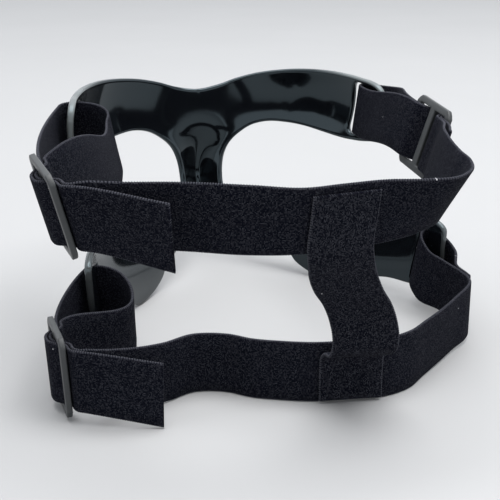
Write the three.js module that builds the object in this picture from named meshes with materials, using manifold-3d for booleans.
// Nose guard for sport: a moulded face shell with a nose channel, brow arms and cheek arms,
// held by an upper and a lower elastic strap with three sliders, and a link strap behind.
// Millimetres, +Z up. The shell's nose points to -Y, the straps trail to +Y,
// and the wearer's left is +X. The guard lies as it rests on a table.
import * as THREE from "three";
import { mergeVertices } from "three/addons/utils/BufferGeometryUtils.js";
import Module from "manifold-3d";

const wasm = await Module();
wasm.setup();
const { degToRad, lerp, clamp } = THREE.MathUtils;

// The shell's wall
const SHELL_THICK = 3.2;

// Driving sizes of the straps, the slots in the shell and the sliders
const STRAP_WIDE = 25;
const STRAP_THICK = 1.3;
const LAYER_GAP = 0.3;
const SLOT_LONG = 26.6;
const SLIDER_LONG = 30;
const SLIDER_WIDE = 32;
const SLIDER_THICK = 2.2;
const SLIDER_BAR = 4;
const SLIDER_CORNER = 3;
const SLIDER_HOLE_LONG = 25.8;
const BEND_RADIUS = 5;
const WINDOW_EASE = 0.2;
const TAIL_SLACK = 0.8;

// How finely the solids are faceted, and the turn in degrees that is made in one step
const SHELL_STEPS_PER_ROW = 2;
const SHELL_COLUMNS = 6;
const STRAP_STEPS_PER_ROW = 3;
const LEG_STEPS = 9;
const BEND_STEPS = 5;
const RISE_STEPS = 7;
const TURN_STEPS = 5;
const TAIL_STEPS = 5;
const SEWN_LEG_STEPS = 6;
const LINK_STEPS_PER_ROW = 2;
const SLOT_END_STEPS = 6;
const SLIGHT_BEND = 12;
const MERGE_WITHIN = 1e-4;

// The face that the shell follows, at each height: its half width, its depth from front to
// back, how far back its sides reach, and how pointed its front is
const FACE = [
  { z: 0, half: 88, depth: 107, back: 53.5, point: 1.5 },
  { z: 15, half: 88, depth: 107, back: 53.5, point: 1.5 },
  { z: 30, half: 88, depth: 114, back: 54.5, point: 1.42 },
  { z: 45, half: 88, depth: 128, back: 58, point: 1.3 },
  { z: 62, half: 78, depth: 85, back: 7, point: 0.9 },
  { z: 66, half: 77.7, depth: 84.6, back: 5.7, point: 0.885 },
  { z: 72, half: 78.9, depth: 84.1, back: 3.8, point: 0.875 },
  { z: 82, half: 79.8, depth: 83.4, back: 2.1, point: 0.87 },
  { z: 92, half: 78.8, depth: 82, back: 0.8, point: 0.87 },
  { z: 100, half: 76.4, depth: 80.6, back: 0, point: 0.87 },
];

// The nose channel: how far it stands forward of the face, and its half width, at each height
const NOSE = [
  { z: 0, rise: 24, half: 20 },
  { z: 12, rise: 26, half: 19 },
  { z: 25, rise: 25, half: 17 },
  { z: 45, rise: 17.5, half: 14 },
  { z: 55, rise: 9, half: 13 },
  { z: 62, rise: 3, half: 12.4 },
  { z: 69, rise: 0.5, half: 12 },
  { z: 76, rise: 0, half: 11.5 },
];

// Half of the shell's outline, from the tip of the brow arm round the eye to the tip of the
// cheek arm: the edge at the eye, and the opposite rim. Angles go round the face from its
// middle, in degrees. Between the rows BROW_MIDDLE and LIP_MIDDLE the rim is the middle line.
const BROW_MIDDLE = 13;
const LIP_MIDDLE = 19;
const OUTLINE = [
  { eyeAngle: 77.6, eyeZ: 77, rimAngle: 78.6, rimZ: 88 },
  { eyeAngle: 77.2, eyeZ: 72.4, rimAngle: 78.2, rimZ: 92 },
  { eyeAngle: 75.6, eyeZ: 69, rimAngle: 76.4, rimZ: 94.8 },
  { eyeAngle: 72.6, eyeZ: 66.8, rimAngle: 72.8, rimZ: 96.3 },
  { eyeAngle: 68, eyeZ: 65.6, rimAngle: 68, rimZ: 97.1 },
  { eyeAngle: 62.6, eyeZ: 65, rimAngle: 62, rimZ: 97.8 },
  { eyeAngle: 56.6, eyeZ: 65.4, rimAngle: 55, rimZ: 98.4 },
  { eyeAngle: 49.8, eyeZ: 66.8, rimAngle: 47, rimZ: 98.5 },
  { eyeAngle: 42, eyeZ: 68.8, rimAngle: 39, rimZ: 98.1 },
  { eyeAngle: 34.4, eyeZ: 70, rimAngle: 31, rimZ: 97.1 },
  { eyeAngle: 27.2, eyeZ: 70.2, rimAngle: 23.5, rimZ: 95.6 },
  { eyeAngle: 20.8, eyeZ: 68.3, rimAngle: 15.5, rimZ: 93 },
  { eyeAngle: 15.4, eyeZ: 64, rimAngle: 8.2, rimZ: 89.8 },
  { eyeAngle: 11.6, eyeZ: 59.4, rimAngle: 0, rimZ: 88 },
  { eyeAngle: 9, eyeZ: 54, rimAngle: 0, rimZ: 76 },
  { eyeAngle: 7.6, eyeZ: 48.6, rimAngle: 0, rimZ: 62 },
  { eyeAngle: 7, eyeZ: 43, rimAngle: 0, rimZ: 47 },
  { eyeAngle: 7, eyeZ: 37.4, rimAngle: 0, rimZ: 34 },
  { eyeAngle: 8, eyeZ: 32.8, rimAngle: 0, rimZ: 24 },
  { eyeAngle: 10.2, eyeZ: 30, rimAngle: 0, rimZ: 15 },
  { eyeAngle: 13.6, eyeZ: 29, rimAngle: 5.2, rimZ: 14.4 },
  { eyeAngle: 18.6, eyeZ: 30, rimAngle: 11, rimZ: 14 },
  { eyeAngle: 24, eyeZ: 31.8, rimAngle: 17, rimZ: 13.6 },
  { eyeAngle: 30, eyeZ: 34, rimAngle: 21.6, rimZ: 11.4 },
  { eyeAngle: 36.2, eyeZ: 36.2, rimAngle: 24.2, rimZ: 6 },
  { eyeAngle: 42.1, eyeZ: 38, rimAngle: 28.6, rimZ: 1.8 },
  { eyeAngle: 48.6, eyeZ: 39.8, rimAngle: 35, rimZ: 0.3 },
  { eyeAngle: 55, eyeZ: 41.2, rimAngle: 41.4, rimZ: 4 },
  { eyeAngle: 61.6, eyeZ: 42, rimAngle: 50, rimZ: 7.6 },
  { eyeAngle: 67, eyeZ: 41.4, rimAngle: 60, rimZ: 7.4 },
  { eyeAngle: 70.4, eyeZ: 38.4, rimAngle: 67, rimZ: 9.6 },
  { eyeAngle: 71.2, eyeZ: 33, rimAngle: 70.4, rimZ: 16.4 },
];

// The slots for the straps, the same on both sides: their width, how far a strap keeps off the
// shell in its turn there, and the two ends of each slot's middle line
const SLOTS = {
  upper: { wide: 8.2, ease: 2.7, footAngle: 63.9, footZ: 69, topAngle: 68.1, topZ: 94 },
  lower: { wide: 4.6, ease: 0.8, footAngle: 59.6, footZ: 11, topAngle: 64, topZ: 35 },
};

// The sliders: middle, heading of the strap towards the shell, its pitch, and the outward
// lean of the slider's top, in degrees. The bends are those of the strap's layers where they
// leave the slider: to the rear, at the free tail, and on the inner and outer leg of the loop.
// The last columns are the loop's reach inward from the shell's slot and along the shell, its lean
// and drop there, the angles of the loop's legs to the shell, and the two legs' slack.
const SLIDERS = {
  upper: {
    left: {
      x: 106.5, y: 104.5, z: 85.5, heading: -86.5, pitch: 4, lean: 15, rearBend: 78, tailBend: 46,
      innerBend: 48, outerBend: 8, loop: 22, loopAlong: 22, loopLean: 10, drop: 2, slotInner: 2,
      slotOuter: -6, innerSlack: 1, slack: 0.5,
    },
    right: {
      x: -67.5, y: 42, z: 83.5, heading: -91, pitch: 7, lean: 15, rearBend: 14, tailBend: 6,
      innerBend: 4, outerBend: 2, loop: 3, loopAlong: 3, loopLean: 0, drop: 0, slotInner: 20,
      slotOuter: 42, innerSlack: 1, slack: 1.1,
    },
  },
  lower: {
    left: {
      x: 104.4, y: 83.5, z: 16.8, heading: -90.5, pitch: -1, lean: 3, rearBend: 78, tailBend: 56,
      innerBend: 46, outerBend: 12, loop: 18.5, loopAlong: 18, loopLean: -6, drop: 6, slotInner: 8,
      slotOuter: 8, innerSlack: 1.1, slack: 0.85,
    },
  },
};

// The lower strap's right end has no slider: its loop, and its end sewn back along the strap
const SEWN_LOOP = { loop: 10, loopAlong: 10, loopLean: 0, drop: 5, slotInner: 0, slotOuter: 26 };
const SEWN_BULGE = { x: -87, y: 38.6, z: 17.4 };
const SEWN_TAIL = [
  { x: -78.6, y: 60, z: 15 },
  { x: -78.7, y: 64.5, z: 14.8 },
  { x: -78.3, y: 69, z: 14.7 },
];

// The middle of each free tail's end, and the turn of its end
const TAIL_ENDS = {
  upper: {
    left: { x: 75.5, y: 143.5, z: 82.4, lean: 8 },
    right: { x: -52.6, y: 84, z: 84.4, lean: 16 },
  },
  lower: {
    left: { x: 71.8, y: 112.6, z: 12.7, lean: -6 },
  },
};

// The straps behind the head, from the left slider to the right: the middle of the strap's
// height, and the outward lean of its top, in degrees
const REAR = {
  upper: [
    { x: 88, y: 122.6, z: 85.2, lean: 8 },
    { x: 70, y: 130, z: 85.3, lean: 6 },
    { x: 49, y: 142.4, z: 85.5, lean: 5 },
    { x: 33.3, y: 149.2, z: 85.5, lean: 12 },
    { x: 19, y: 148.6, z: 85.5, lean: 12 },
    { x: 4.5, y: 147.6, z: 85.5, lean: 14 },
    { x: -9.5, y: 147.3, z: 85.6, lean: 24 },
    { x: -19.5, y: 145.4, z: 85.8, lean: 31 },
    { x: -27, y: 140, z: 86, lean: 30 },
    { x: -31.5, y: 132.5, z: 86.1, lean: 26 },
    { x: -34.5, y: 122, z: 86.2, lean: 22 },
    { x: -38.5, y: 110, z: 86.2, lean: 20 },
    { x: -43.5, y: 97, z: 86.2, lean: 18 },
    { x: -50, y: 82.5, z: 85.8, lean: 17 },
    { x: -57.6, y: 69.6, z: 84.4, lean: 16 },
  ],
  lower: [
    { x: 90, y: 98.4, z: 15.4, lean: 0 },
    { x: 80, y: 97, z: 14, lean: 0 },
    { x: 67, y: 93.8, z: 12.9, lean: 0 },
    { x: 52.5, y: 88.2, z: 12.5, lean: 0 },
    { x: 41, y: 92.4, z: 12.5, lean: 0 },
    { x: 33.4, y: 100, z: 12.5, lean: 0 },
    { x: 23.5, y: 106, z: 12.5, lean: 0 },
    { x: 12, y: 111.2, z: 12.5, lean: 0 },
    { x: -1.5, y: 114, z: 12.5, lean: 0 },
    { x: -15, y: 116.2, z: 12.5, lean: 0 },
    { x: -26.5, y: 113.2, z: 12.5, lean: 0 },
    { x: -38.5, y: 104.6, z: 12.6, lean: 2 },
    { x: -52, y: 94.6, z: 13, lean: 3 },
    { x: -63, y: 86, z: 13.6, lean: 2 },
    { x: -70.4, y: 80.6, z: 14.2, lean: 0 },
    { x: -74.6, y: 76, z: 14.5, lean: 0 },
    { x: -76.8, y: 70.4, z: 14.6, lean: 0 },
    { x: -77.1, y: 64.5, z: 14.8, lean: 0 },
    { x: -76.6, y: 57, z: 15.2, lean: 0 },
    { x: -75, y: 49, z: 16.2, lean: 0 },
  ],
};

// The link strap from its upper patch to its lower one: its middle, and the turn of its width
const LINK = [
  { x: 18.8, y: 152.5, z: 94.6, turn: 3 },
  { x: 18.9, y: 150.5, z: 85.2, turn: 3 },
  { x: 19, y: 148.3, z: 75, turn: 3 },
  { x: 17.6, y: 146.2, z: 69, turn: 2 },
  { x: 14.6, y: 141.4, z: 62, turn: -4 },
  { x: 10.4, y: 137, z: 54.5, turn: -11 },
  { x: 5, y: 133.2, z: 47, turn: -15 },
  { x: 1.6, y: 131.2, z: 39.5, turn: -15 },
  { x: 0, y: 130.4, z: 32.5, turn: -13 },
  { x: -0.2, y: 129, z: 27, turn: -12 },
  { x: -0.4, y: 125.6, z: 23.8, turn: -11 },
  { x: -0.9, y: 120.4, z: 22.6, turn: -10.5 },
  { x: -1.1, y: 116.8, z: 19.6, turn: -10.5 },
  { x: -1.2, y: 115.9, z: 14, turn: -10.5 },
  { x: -1.2, y: 115.9, z: 1.4, turn: -10.5 },
];

const UP = new THREE.Vector3(0, 0, 1);
const SIDES = { left: 1, right: -1 };

// A cubic curve through the rows' values at whole numbers, read at the place t.
function smooth(values, t) {
  const last = values.length - 1;
  const i = clamp(Math.floor(t), 0, last - 1);
  const u = t - i;
  const at = (k) => values[clamp(k, 0, last)];
  const startSlope = (at(i + 1) - at(i - 1)) / 2;
  const endSlope = (at(i + 2) - at(i)) / 2;
  const rise = at(i + 1) - at(i);
  const bend = u * u * (3 - 2 * u);
  return (
    at(i) + bend * rise + u * (1 - u) * ((1 - u) * startSlope - u * endSlope)
  );
}

// A table's column read at a height between its rows, which run upwards.
function atHeight(rows, column, z) {
  const last = rows.length - 1;
  const high = clamp(rows.findIndex((row) => row.z > z), 1, last);
  const i = z >= rows[last].z ? last : high;
  const share = clamp((z - rows[i - 1].z) / (rows[i].z - rows[i - 1].z), 0, 1);
  return smooth(rows.map((row) => row[column]), i - 1 + share);
}

// The face that the shell follows: an oval of changing squareness at each height, with the
// nose channel standing out in front.
function facePoint(angle, z) {
  const [half, depth, back, point] = ["half", "depth", "back", "point"].map((column) =>
    atHeight(FACE, column, z),
  );
  const share = Math.sin(degToRad(Math.abs(angle)));
  const x = half * share;
  const front = depth * Math.pow(1 - Math.pow(share, 2 / point), point / 2);
  const spread = x / atHeight(NOSE, "half", z);
  const nose = atHeight(NOSE, "rise", z) * Math.exp(-spread * spread);
  return new THREE.Vector3(Math.sign(angle) * x, back - front - nose, z);
}

// The direction straight out of the face.
function faceOut(angle, z) {
  const turn = 0.6;
  const step = 0.5;
  const across = facePoint(angle + turn, z).sub(facePoint(angle - turn, z));
  const rising = facePoint(angle, z + step).sub(facePoint(angle, z - step));
  return across.cross(rising).normalize();
}

// The rim's angle and height at the place t along the outline's rows.
function rimAt(t) {
  const brow = OUTLINE.slice(0, BROW_MIDDLE + 1);
  const lip = OUTLINE.slice(LIP_MIDDLE);
  const browMirror = { ...OUTLINE[BROW_MIDDLE - 1], rimAngle: -OUTLINE[BROW_MIDDLE - 1].rimAngle };
  const lipMirror = { ...OUTLINE[LIP_MIDDLE + 1], rimAngle: -OUTLINE[LIP_MIDDLE + 1].rimAngle };
  const read = (rows, place) => ({
    angle: smooth(rows.map((row) => row.rimAngle), place),
    z: smooth(rows.map((row) => row.rimZ), place),
  });
  if (t < BROW_MIDDLE) return read([...brow, browMirror], t);
  if (t <= LIP_MIDDLE) return { angle: 0, z: read(OUTLINE, t).z };
  return read([lipMirror, ...lip], t - LIP_MIDDLE + 1);
}

// An indexed geometry of merged points from a flat list of triangle corners.
function closedGeometry(corners) {
  const flat = new Float32Array(corners.flatMap((p) => [p.x, p.y, p.z]));
  const loose = new THREE.BufferGeometry();
  loose.setAttribute("position", new THREE.BufferAttribute(flat, 3));
  return mergeVertices(loose, MERGE_WITHIN);
}

function solidOf(geometry) {
  const bare = geometry.clone();
  bare.deleteAttribute("normal");
  bare.deleteAttribute("uv");
  const merged = mergeVertices(bare, MERGE_WITHIN);
  const vertProperties = new Float32Array(merged.attributes.position.array);
  const triVerts = new Uint32Array(merged.index.array);
  return new wasm.Manifold(new wasm.Mesh({ numProp: 3, vertProperties, triVerts }));
}

function geometryOf(solid) {
  const mesh = solid.getMesh();
  const geometry = new THREE.BufferGeometry();
  geometry.setAttribute("position", new THREE.BufferAttribute(mesh.vertProperties, 3));
  geometry.setIndex(new THREE.BufferAttribute(mesh.triVerts, 1));
  return geometry;
}

// The shell as one closed wall: each half is a band between the eye's edge and the rim.
function shellGeometry() {
  const corners = [];
  const quad = (a, b, c, d) => corners.push(a, b, c, a, c, d);
  const rows = (OUTLINE.length - 1) * SHELL_STEPS_PER_ROW;
  for (const side of [1, -1]) {
    const grid = { inner: [], outer: [] };
    for (let i = 0; i <= rows; i++) {
      const t = i / SHELL_STEPS_PER_ROW;
      const rim = rimAt(t);
      const eyeAngle = smooth(OUTLINE.map((row) => row.eyeAngle), t);
      const eyeZ = smooth(OUTLINE.map((row) => row.eyeZ), t);
      const inner = [];
      const outer = [];
      for (let k = 0; k <= SHELL_COLUMNS; k++) {
        const share = k / SHELL_COLUMNS;
        const angle = lerp(eyeAngle, rim.angle, share);
        const z = lerp(eyeZ, rim.z, share);
        const point = facePoint(angle, z);
        const out = faceOut(angle, z).multiplyScalar(SHELL_THICK / 2);
        if (angle === 0) out.x = 0;
        inner.push(point.clone().sub(out).multiply(new THREE.Vector3(side, 1, 1)));
        outer.push(point.clone().add(out).multiply(new THREE.Vector3(side, 1, 1)));
      }
      grid.inner.push(inner);
      grid.outer.push(outer);
    }
    const face = (a, b, c, d) => (side > 0 ? quad(d, c, b, a) : quad(a, b, c, d));
    const wall = (i, k, j, l) =>
      face(grid.inner[i][k], grid.inner[j][l], grid.outer[j][l], grid.outer[i][k]);
    for (let i = 0; i < rows; i++) {
      for (let k = 0; k < SHELL_COLUMNS; k++) {
        face(grid.outer[i][k], grid.outer[i + 1][k], grid.outer[i + 1][k + 1], grid.outer[i][k + 1]);
        face(grid.inner[i][k + 1], grid.inner[i + 1][k + 1], grid.inner[i + 1][k], grid.inner[i][k]);
      }
      wall(i, 0, i + 1, 0);
      const t = (i + 0.5) / SHELL_STEPS_PER_ROW;
      if (t < BROW_MIDDLE || t > LIP_MIDDLE) wall(i + 1, SHELL_COLUMNS, i, SHELL_COLUMNS);
    }
    for (let k = 0; k < SHELL_COLUMNS; k++) {
      wall(0, k + 1, 0, k);
      wall(rows, k, rows, k + 1);
    }
  }
  return closedGeometry(corners);
}

// A slot's frame: its middle, the way along the face to the arm's tip, its length, outward,
// its width and its ease.
function slotFrame(slot, side) {
  const foot = facePoint(slot.footAngle, slot.footZ);
  const top = facePoint(slot.topAngle, slot.topZ);
  const middleAngle = (slot.footAngle + slot.topAngle) / 2;
  const middleZ = (slot.footZ + slot.topZ) / 2;
  const middle = facePoint(middleAngle, middleZ);
  const long = top.sub(foot).normalize();
  const out = faceOut(middleAngle, middleZ);
  const toTip = long.clone().cross(out).normalize();
  out.crossVectors(toTip, long);
  const mirror = new THREE.Vector3(side, 1, 1);
  return {
    middle: middle.multiply(mirror),
    toTip: toTip.multiply(mirror),
    long: long.multiply(mirror),
    out: out.multiply(mirror),
    wide: slot.wide,
    ease: slot.ease,
  };
}

// A round-ended slot's cutter, standing across the shell's wall.
function slotCutter(frame) {
  const reach = 6;
  const radius = frame.wide / 2;
  const half = SLOT_LONG / 2 - radius;
  const outline = new THREE.Shape();
  outline.absarc(0, half, radius, 0, Math.PI, false);
  outline.absarc(0, -half, radius, Math.PI, 2 * Math.PI, false);
  const cutter = new THREE.ExtrudeGeometry(outline, {
    depth: 2 * reach,
    bevelEnabled: false,
    curveSegments: SLOT_END_STEPS,
  });
  cutter.translate(0, 0, -reach);
  const across = new THREE.Vector3().crossVectors(frame.long, frame.out);
  const place = new THREE.Matrix4().makeBasis(across, frame.long, frame.out);
  cutter.applyMatrix4(place.setPosition(frame.middle));
  return cutter;
}

// A slider's frame: its middle, the way towards the shell, its width and outward.
function sliderFrame(row, side) {
  const heading = degToRad(row.heading);
  const pitch = degToRad(row.pitch);
  const lean = degToRad(row.lean);
  const flat = new THREE.Vector3(Math.cos(heading), Math.sin(heading), 0);
  const along = flat.clone().multiplyScalar(Math.cos(pitch)).addScaledVector(UP, Math.sin(pitch));
  const level = new THREE.Vector3().crossVectors(UP, flat).multiplyScalar(side);
  const upright = new THREE.Vector3().crossVectors(along, level).multiplyScalar(side);
  const across = upright.clone().multiplyScalar(Math.cos(lean)).addScaledVector(level, Math.sin(lean));
  const out = level.clone().multiplyScalar(Math.cos(lean)).addScaledVector(upright, -Math.sin(lean));
  return { middle: new THREE.Vector3(row.x, row.y, row.z), along, across, out };
}

// A flat three-bar slider with cut corners and two windows.
function sliderGeometry(frame) {
  const long = SLIDER_LONG / 2;
  const wide = SLIDER_WIDE / 2;
  const cut = SLIDER_CORNER;
  const outline = new THREE.Shape();
  outline.moveTo(-long + cut, -wide);
  outline.lineTo(long - cut, -wide);
  outline.lineTo(long, -wide + cut);
  outline.lineTo(long, wide - cut);
  outline.lineTo(long - cut, wide);
  outline.lineTo(-long + cut, wide);
  outline.lineTo(-long, wide - cut);
  outline.lineTo(-long, -wide + cut);
  const plate = new THREE.ExtrudeGeometry(outline, { depth: SLIDER_THICK, bevelEnabled: false });
  plate.translate(0, 0, -SLIDER_THICK / 2);
  const near = SLIDER_BAR / 2;
  const far = long - SLIDER_BAR;
  let bars = solidOf(plate);
  for (const side of [-1, 1]) {
    const window = new THREE.BoxGeometry(far - near, SLIDER_HOLE_LONG, 2 * SLIDER_THICK);
    window.translate((side * (near + far)) / 2, 0, 0);
    bars = bars.subtract(solidOf(window));
  }
  const slider = geometryOf(bars);
  const normal = new THREE.Vector3().crossVectors(frame.along, frame.across);
  const place = new THREE.Matrix4().makeBasis(frame.along, frame.across, normal);
  slider.applyMatrix4(place.setPosition(frame.middle));
  return slider;
}

// The way of one strap layer through a slider, from the rear bend to the bend towards the
// shell: under the first bar, over the middle one and under the last. The two layers keep
// the same distance to either side of the line between them.
function sliderWay(frame, layer, rearBend, faceBend) {
  const bed = SLIDER_THICK / 2 + STRAP_THICK + 1.5 * LAYER_GAP;
  const offset = layer * (STRAP_THICK + LAYER_GAP) / 2;
  const start = SLIDER_LONG / 2 - SLIDER_BAR - WINDOW_EASE;
  const end = SLIDER_BAR / 2 + WINDOW_EASE;
  const bendAt = SLIDER_LONG / 2 - SLIDER_BAR / 2;
  const bendPoints = (degrees, way) => {
    const radius = BEND_RADIUS + offset;
    const steps = degrees > SLIGHT_BEND ? BEND_STEPS : 1;
    const list = [];
    for (let i = 0; i <= steps; i++) {
      const turn = (degToRad(degrees) * i) / steps;
      const drop = BEND_RADIUS - radius * Math.cos(turn);
      list.push([way * (bendAt + radius * Math.sin(turn)), -bed - drop]);
    }
    return list;
  };
  const rise = [];
  for (let i = 0; i <= RISE_STEPS; i++) {
    const u = i / RISE_STEPS;
    const slope = (bed * Math.PI * Math.sin(Math.PI * u)) / (start - end);
    const size = Math.hypot(1, slope);
    rise.push([
      -lerp(start, end, u) - (offset * slope) / size,
      -bed * Math.cos(Math.PI * u) + offset / size,
    ]);
  }
  const fall = rise.map(([a, h]) => [-a, h]).reverse();
  const way = [...bendPoints(rearBend, -1).reverse(), ...rise, ...fall, ...bendPoints(faceBend, 1)];
  return way.map(([a, h]) => ({
    point: frame.middle.clone().addScaledVector(frame.along, a).addScaledVector(frame.out, h),
    across: frame.across.clone(),
  }));
}

// The strap's turn through a slot, from its inner leg to its outer leg: a free loop inside
// the shell, then a close turn round the bar at the slot's edge.
function slotTurn(frame, row) {
  const close = SHELL_THICK / 2 + frame.ease + STRAP_THICK / 2;
  const wide = Math.max(row.loop, close);
  const along = Math.max(row.loopAlong, close);
  const edge = frame.wide / 2 + LAYER_GAP - close;
  const inside = degToRad(90 - row.slotInner);
  const outside = degToRad(90 - row.slotOuter);
  const lean = Math.tan(degToRad(row.loopLean));
  const places = [];
  for (let i = -TURN_STEPS; i <= TURN_STEPS; i++) {
    const reach = i < 0 ? wide : close;
    const slide = i < 0 ? along : close;
    const share = i / TURN_STEPS;
    const turn = (i < 0 ? inside : outside) * share;
    places.push({
      point: frame.middle
        .clone()
        .addScaledVector(frame.toTip, edge + slide * (1 - Math.cos(turn)))
        .addScaledVector(frame.out, reach * Math.sin(turn))
        .addScaledVector(frame.long, i < 0 ? -row.drop * share * share : 0),
      across: frame.long.clone().addScaledVector(frame.out, i < 0 ? lean * share * share : 0).normalize(),
    });
  }
  return places;
}

// Places between two places, on a cubic curve that leaves and arrives in the given directions.
function leg(from, fromWay, to, toWay, steps, stretch = 1) {
  const size = from.point.distanceTo(to.point) * stretch;
  const places = [];
  for (let i = 1; i < steps; i++) {
    const u = i / steps;
    const bend = u * u * (3 - 2 * u);
    const point = from.point.clone().lerp(to.point, bend);
    point.addScaledVector(fromWay, size * u * (1 - u) * (1 - u));
    point.addScaledVector(toWay, -size * u * u * (1 - u));
    places.push({ point, across: from.across.clone().lerp(to.across, u).normalize() });
  }
  return places;
}

const wayOut = (places) => {
  const count = places.length;
  return places[count - 1].point.clone().sub(places[count - 2].point).normalize();
};

// One end of a strap: through the slider, round the shell's slot and back through the slider
// to the free tail.
function strapEnd(level, sideName) {
  const side = SIDES[sideName];
  const row = SLIDERS[level][sideName];
  const frame = sliderFrame(row, side);
  const main = sliderWay(frame, -1, row.rearBend, row.innerBend);
  const second = sliderWay(frame, 1, row.tailBend, row.outerBend).reverse();
  const turn = slotTurn(slotFrame(SLOTS[level], side), row);
  const turnWay = turn[1].point.clone().sub(turn[0].point).normalize();
  const secondWay = second[1].point.clone().sub(second[0].point).normalize();
  const inner = leg(main[main.length - 1], wayOut(main), turn[0], turnWay, LEG_STEPS, row.innerSlack);
  const outer = leg(turn[turn.length - 1], wayOut(turn), second[0], secondWay, LEG_STEPS, row.slack);
  const tail = TAIL_ENDS[level][sideName];
  const tip = { point: new THREE.Vector3(tail.x, tail.y, tail.z), across: null };
  const exit = second[second.length - 1];
  const tailWay = tip.point.clone().sub(exit.point).normalize();
  const outward = new THREE.Vector3(-tailWay.y, tailWay.x, 0).normalize().multiplyScalar(-side);
  tip.across = UP.clone().multiplyScalar(Math.cos(degToRad(tail.lean)));
  tip.across.addScaledVector(outward, Math.sin(degToRad(tail.lean)));
  const free = leg(exit, wayOut(second), tip, tailWay, TAIL_STEPS, TAIL_SLACK);
  return [...main, ...inner, ...turn, ...outer, ...second, ...free, tip];
}

// A strap's end without a slider: through the shell's slot and back along the strap's outside.
function sewnEnd(level, sideName) {
  const turn = slotTurn(slotFrame(SLOTS[level], SIDES[sideName]), SEWN_LOOP);
  const tail = SEWN_TAIL.map((row) => ({
    point: new THREE.Vector3(row.x, row.y, row.z),
    across: UP.clone(),
  }));
  const tailWay = tail[1].point.clone().sub(tail[0].point).normalize();
  const bulge = {
    point: new THREE.Vector3(SEWN_BULGE.x, SEWN_BULGE.y, SEWN_BULGE.z),
    across: UP.clone(),
  };
  const bulgeWay = tail[0].point.clone().sub(turn[turn.length - 1].point).normalize();
  const near = leg(turn[turn.length - 1], wayOut(turn), bulge, bulgeWay, SEWN_LEG_STEPS);
  const far = leg(bulge, bulgeWay, tail[0], tailWay, SEWN_LEG_STEPS);
  return [...turn, ...near, bulge, ...far, ...tail];
}

// The strap behind the head, between the last places of its two ends.
function rearPlaces(level, first, last) {
  const rows = REAR[level];
  const points = rows.map((row) => new THREE.Vector3(row.x, row.y, row.z));
  const places = rows.map((row, i) => {
    const before = i > 0 ? points[i - 1] : first.point;
    const after = i < rows.length - 1 ? points[i + 1] : last.point;
    const way = after.clone().sub(before).normalize();
    const outward = new THREE.Vector3().crossVectors(way, UP).normalize();
    const lean = degToRad(row.lean);
    const across = UP.clone().multiplyScalar(Math.cos(lean)).addScaledVector(outward, Math.sin(lean));
    return { point: points[i], across };
  });
  const all = [first, ...places, last];
  const curve = new THREE.CatmullRomCurve3(all.map((place) => place.point), false, "centripetal");
  const steps = (all.length - 1) * STRAP_STEPS_PER_ROW;
  const result = [];
  for (let i = 1; i < steps; i++) {
    const t = i / STRAP_STEPS_PER_ROW;
    const row = Math.min(Math.floor(t), all.length - 2);
    const across = all[row].across.clone().lerp(all[row + 1].across, t - row).normalize();
    const point = curve.getPoint(i / steps);
    point.z = Math.max(point.z, across.z * STRAP_WIDE / 2);
    result.push({ point, across });
  }
  return result;
}

// A strap's closed solid along its places: four corners at each place, and two flat ends.
function ribbonGeometry(places) {
  const rings = places.map((place, i) => {
    const before = places[Math.max(i - 1, 0)].point;
    const after = places[Math.min(i + 1, places.length - 1)].point;
    const way = after.clone().sub(before).normalize();
    const out = new THREE.Vector3().crossVectors(way, place.across).normalize();
    const corner = (across, depth) =>
      place.point
        .clone()
        .addScaledVector(place.across, across * STRAP_WIDE / 2)
        .addScaledVector(out, depth * STRAP_THICK / 2);
    return [corner(-1, -1), corner(1, -1), corner(1, 1), corner(-1, 1)];
  });
  const corners = [];
  const quad = (a, b, c, d) => corners.push(a, b, c, a, c, d);
  for (let i = 0; i + 1 < rings.length; i++) {
    for (let k = 0; k < 4; k++) {
      const next = (k + 1) % 4;
      quad(rings[i][k], rings[i][next], rings[i + 1][next], rings[i + 1][k]);
    }
  }
  const first = rings[0];
  const last = rings[rings.length - 1];
  quad(first[3], first[2], first[1], first[0]);
  quad(last[0], last[1], last[2], last[3]);
  return closedGeometry(corners);
}

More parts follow.
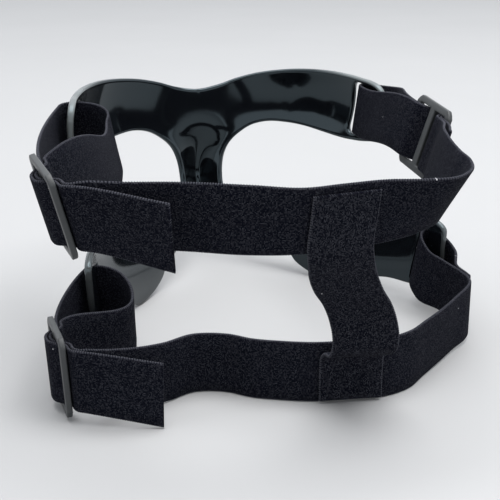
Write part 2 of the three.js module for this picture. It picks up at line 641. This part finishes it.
function strapGeometry(level) {
  const left = strapEnd(level, "left");
  const right = SLIDERS[level].right ? strapEnd(level, "right") : sewnEnd(level, "right");
  const rear = rearPlaces(level, left[0], right[0]);
  return ribbonGeometry([...left.reverse(), ...rear, ...right]);
}

function linkGeometry() {
  const points = LINK.map((row) => new THREE.Vector3(row.x, row.y, row.z));
  const curve = new THREE.CatmullRomCurve3(points, false, "centripetal");
  const steps = (LINK.length - 1) * LINK_STEPS_PER_ROW;
  const places = [];
  for (let i = 0; i <= steps; i++) {
    const turn = degToRad(smooth(LINK.map((row) => row.turn), i / LINK_STEPS_PER_ROW));
    places.push({
      point: curve.getPoint(i / steps),
      across: new THREE.Vector3(Math.cos(turn), Math.sin(turn), 0),
    });
  }
  return ribbonGeometry(places);
}

// The finishes
const shellBlack = { color: 0x0a0b0d, roughness: 0.12, metalness: 0 };
const strapBlack = { color: 0x121216, roughness: 0.95, metalness: 0 };
const sliderGrey = { color: 0x3a3d40, roughness: 0.5, metalness: 0 };

const assembly = new THREE.Group();
function addPiece(name, geometry, finish) {
  const mesh = new THREE.Mesh(geometry, new THREE.MeshStandardMaterial(finish));
  mesh.name = name;
  assembly.add(mesh);
}

let shell = solidOf(shellGeometry());
for (const level of Object.keys(SLOTS)) {
  for (const side of Object.values(SIDES)) {
    shell = shell.subtract(solidOf(slotCutter(slotFrame(SLOTS[level], side))));
  }
}
addPiece("mask_shell", geometryOf(shell), shellBlack);
for (const level of Object.keys(SLIDERS)) {
  addPiece(`${level}_strap`, strapGeometry(level), strapBlack);
  for (const [sideName, row] of Object.entries(SLIDERS[level])) {
    const frame = sliderFrame(row, SIDES[sideName]);
    addPiece(`slider_${level}_${sideName}`, sliderGeometry(frame), sliderGrey);
  }
}
addPiece("link_strap", linkGeometry(), strapBlack);

// The origin is the middle of the footprint, on the table.
const box = new THREE.Box3().setFromObject(assembly, true);
const middle = box.getCenter(new THREE.Vector3());
assembly.position.set(-middle.x, -middle.y, -box.min.z);

const noseGuard = new THREE.Group();
noseGuard.add(assembly);

export default noseGuard;
